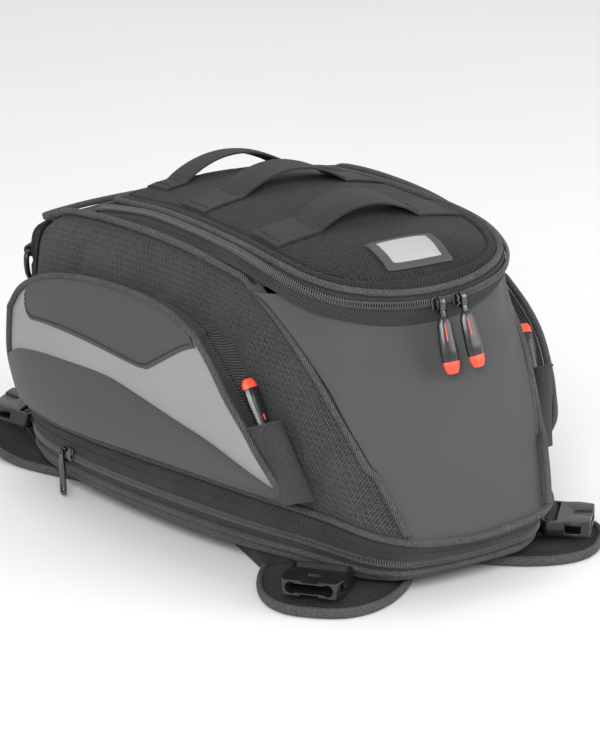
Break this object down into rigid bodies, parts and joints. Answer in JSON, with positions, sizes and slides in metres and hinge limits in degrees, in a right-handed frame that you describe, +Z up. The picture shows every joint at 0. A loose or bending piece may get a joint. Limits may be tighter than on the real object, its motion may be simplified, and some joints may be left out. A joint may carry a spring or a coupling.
{
  "type": "motorcycle tank bag",
  "caption": "Expandable motorcycle tank bag with a zipped lid, bulging side pockets, webbing loops on top and a padded harness whose wings carry side-release buckles",
  "frame": {"origin": "the middle of the underside of the harness saddle, in the plane on which the bag rests", "axes": "+X to the right pocket, seen from behind the bag; +Y from the low front nose to the rear, where the lid is hinged; +Z up"},
  "size_m": [0.3628, 0.5023, 0.263],
  "materials": {
    "ripstop": "fine grid weave",
    "lid_fabric": "coarse weave over foam",
    "softshell": "smooth matt coated fabric",
    "reflective": "silver reflective film on fabric",
    "binding": "woven binding",
    "webbing": "woven webbing",
    "zip_tape": "twill tape with coil",
    "foam_board": "matt",
    "rubber": "moulded",
    "slider_metal": "gunmetal",
    "pull_plastic": "fine grain",
    "pull_tip": "satin",
    "buckle_plastic": "gloss"
  },
  "bodies": {
    "base": {"base_panel": "ripstop", "base_board": "foam_board", "lower_base_piping": "binding", "expansion_zip_lower_tape": "zip_tape", "expansion_gusset": "ripstop", "harness_saddle": "lid_fabric"},
    "shell": {"expansion_zip_upper_tape": "zip_tape", "upper_base_piping": "binding", "side_panel_left": "ripstop", "side_panel_right": "ripstop", "front_panel": "softshell", "rear_panel": "ripstop", "body_piping": "binding", "top_gusset": "ripstop", "main_zip_tape": "zip_tape", "pocket_gusset_left": "ripstop", "pocket_gusset_right": "ripstop", "ring_tab_left": "webbing", "ring_tab_right": "webbing"},
    "lid": {"lid_panel": "lid_fabric", "lid_piping": "binding", "lid_zip_tape": "zip_tape", "front_lid_strap": "webbing", "rear_lid_strap": "webbing", "carry_handle": "webbing", "lid_patch": "rubber"},
    "expansion_slider": {"expansion_slider": "slider_metal"},
    "expansion_pull": {"expansion_pull": "slider_metal"},
    "main_slider_left": {"main_slider_left": "slider_metal"},
    "main_pull_left": {"main_pull_left": "pull_plastic", "main_pull_tip_left": "pull_tip"},
    "pocket_cover_left": {"pocket_face_left": "reflective", "pocket_badge_left": "softshell", "pocket_pad_left": "softshell", "pocket_piping_left": "binding", "zip_garage_left": "ripstop"},
    "pocket_slider_left": {"pocket_zip_pull_left": "pull_plastic"},
    "ring_left": {"corner_ring_left": "buckle_plastic"},
    "wing_front_left": {"wing_front_left": "lid_fabric", "buckle_strap_front_left": "webbing"},
    "buckle_front_left": {"buckle_front_left": "buckle_plastic"},
    "wing_rear_left": {"wing_rear_left": "lid_fabric", "buckle_strap_rear_left": "webbing"},
    "buckle_rear_left": {"buckle_rear_left": "buckle_plastic"},
    "main_slider_right": {"main_slider_right": "slider_metal"},
    "main_pull_right": {"main_pull_right": "pull_plastic", "main_pull_tip_right": "pull_tip"},
    "pocket_cover_right": {"pocket_face_right": "reflective", "pocket_badge_right": "softshell", "pocket_pad_right": "softshell", "pocket_piping_right": "binding", "zip_garage_right": "ripstop"},
    "pocket_slider_right": {"pocket_zip_pull_right": "pull_plastic"},
    "ring_right": {"corner_ring_right": "buckle_plastic"},
    "wing_front_right": {"wing_front_right": "lid_fabric", "buckle_strap_front_right": "webbing"},
    "buckle_front_right": {"buckle_front_right": "buckle_plastic"},
    "wing_rear_right": {"wing_rear_right": "lid_fabric", "buckle_strap_rear_right": "webbing"},
    "buckle_rear_right": {"buckle_rear_right": "buckle_plastic"}
  },
  "joints": [
    {"name": "expand", "type": "slide", "parent": "base", "child": "shell", "axis": [0, 0, 1], "range_m": [0, 0.045], "deforming": ["expansion_gusset"]},
    {"name": "lid_hinge", "type": "hinge", "parent": "shell", "child": "lid", "pos_m": [0, 0.177, 0.218], "axis": [-1, 0, 0], "range_deg": [0, 105]},
    {"name": "main_slider_left_travel", "type": "hinge", "parent": "shell", "child": "main_slider_left", "pos_m": [0, -0.02649, 0.26586], "axis": [0, -0.4226, 0.9063], "range_deg": [-24, 0]},
    {"name": "main_pull_left_hinge", "type": "hinge", "parent": "main_slider_left", "child": "main_pull_left", "pos_m": [0.00106, -0.1652, 0.2035], "axis": [-1, -0.0063, -0.0029], "range_deg": [0, 100]},
    {"name": "main_slider_right_travel", "type": "hinge", "parent": "shell", "child": "main_slider_right", "pos_m": [0, -0.02649, 0.26586], "axis": [0, -0.4226, 0.9063], "range_deg": [0, 17]},
    {"name": "main_pull_right_hinge", "type": "hinge", "parent": "main_slider_right", "child": "main_pull_right", "pos_m": [0.02006, -0.164, 0.20406], "axis": [-0.9913, -0.1196, -0.0558], "range_deg": [0, 100]},
    {"name": "expansion_slider_travel", "type": "slide", "parent": "base", "child": "expansion_slider", "axis": [0.13, -0.9915, 0], "range_m": [0, 0.045]},
    {"name": "expansion_pull_hinge", "type": "hinge", "parent": "expansion_slider", "child": "expansion_pull", "pos_m": [-0.16715, 0.12812, 0.0381], "axis": [-0.12, 0.9928, 0], "range_deg": [0, 110]},
    {"name": "pocket_left_open", "type": "hinge", "parent": "shell", "child": "pocket_cover_left", "pos_m": [-0.169, 0.1, 0.063], "axis": [0.218, -0.976, 0], "range_deg": [0, 28]},
    {"name": "pocket_zip_left_travel", "type": "slide", "parent": "pocket_cover_left", "child": "pocket_slider_left", "axis": [-0.0958, 0.5961, 0.7972], "range_m": [0, 0.035]},
    {"name": "ring_left_swing", "type": "hinge", "parent": "shell", "child": "ring_left", "pos_m": [-0.137, 0.224, 0.177], "axis": [0.7507, 0.6606, 0], "range_deg": [-8, 90]},
    {"name": "wing_front_left_fold", "type": "hinge", "parent": "base", "child": "wing_front_left", "pos_m": [-0.072, -0.137, 0], "axis": [0.7314, -0.682, 0], "range_deg": [0, 60]},
    {"name": "buckle_front_left_tilt", "type": "hinge", "parent": "wing_front_left", "child": "buckle_front_left", "pos_m": [-0.09801, -0.16196, 0.0188], "axis": [-0.6561, 0.7547, 0], "range_deg": [0, 30]},
    {"name": "wing_rear_left_fold", "type": "hinge", "parent": "base", "child": "wing_rear_left", "pos_m": [-0.085, 0.16, 0], "axis": [-0.8387, -0.5446, 0], "range_deg": [0, 60]},
    {"name": "buckle_rear_left_tilt", "type": "hinge", "parent": "wing_rear_left", "child": "buckle_rear_left", "pos_m": [-0.13606, 0.23617, 0.03236], "axis": [0.7771, 0.6293, 0], "range_deg": [0, 30]},
    {"name": "pocket_right_open", "type": "hinge", "parent": "shell", "child": "pocket_cover_right", "pos_m": [0.169, 0.1, 0.063], "axis": [0.218, 0.976, 0], "range_deg": [0, 28]},
    {"name": "pocket_zip_right_travel", "type": "slide", "parent": "pocket_cover_right", "child": "pocket_slider_right", "axis": [0.0958, 0.5961, 0.7972], "range_m": [0, 0.035]},
    {"name": "ring_right_swing", "type": "hinge", "parent": "shell", "child": "ring_right", "pos_m": [0.137, 0.224, 0.177], "axis": [0.7507, -0.6606, 0], "range_deg": [-8, 90]},
    {"name": "wing_front_right_fold", "type": "hinge", "parent": "base", "child": "wing_front_right", "pos_m": [0.072, -0.137, 0], "axis": [0.7314, 0.682, 0], "range_deg": [0, 60]},
    {"name": "buckle_front_right_tilt", "type": "hinge", "parent": "wing_front_right", "child": "buckle_front_right", "pos_m": [0.09801, -0.16196, 0.0188], "axis": [-0.6561, -0.7547, 0], "range_deg": [0, 30]},
    {"name": "wing_rear_right_fold", "type": "hinge", "parent": "base", "child": "wing_rear_right", "pos_m": [0.085, 0.16, 0], "axis": [-0.8387, 0.5446, 0], "range_deg": [0, 60]},
    {"name": "buckle_rear_right_tilt", "type": "hinge", "parent": "wing_rear_right", "child": "buckle_rear_right", "pos_m": [0.13606, 0.23617, 0.03236], "axis": [0.7771, -0.6293, 0], "range_deg": [0, 30]}
  ]
}
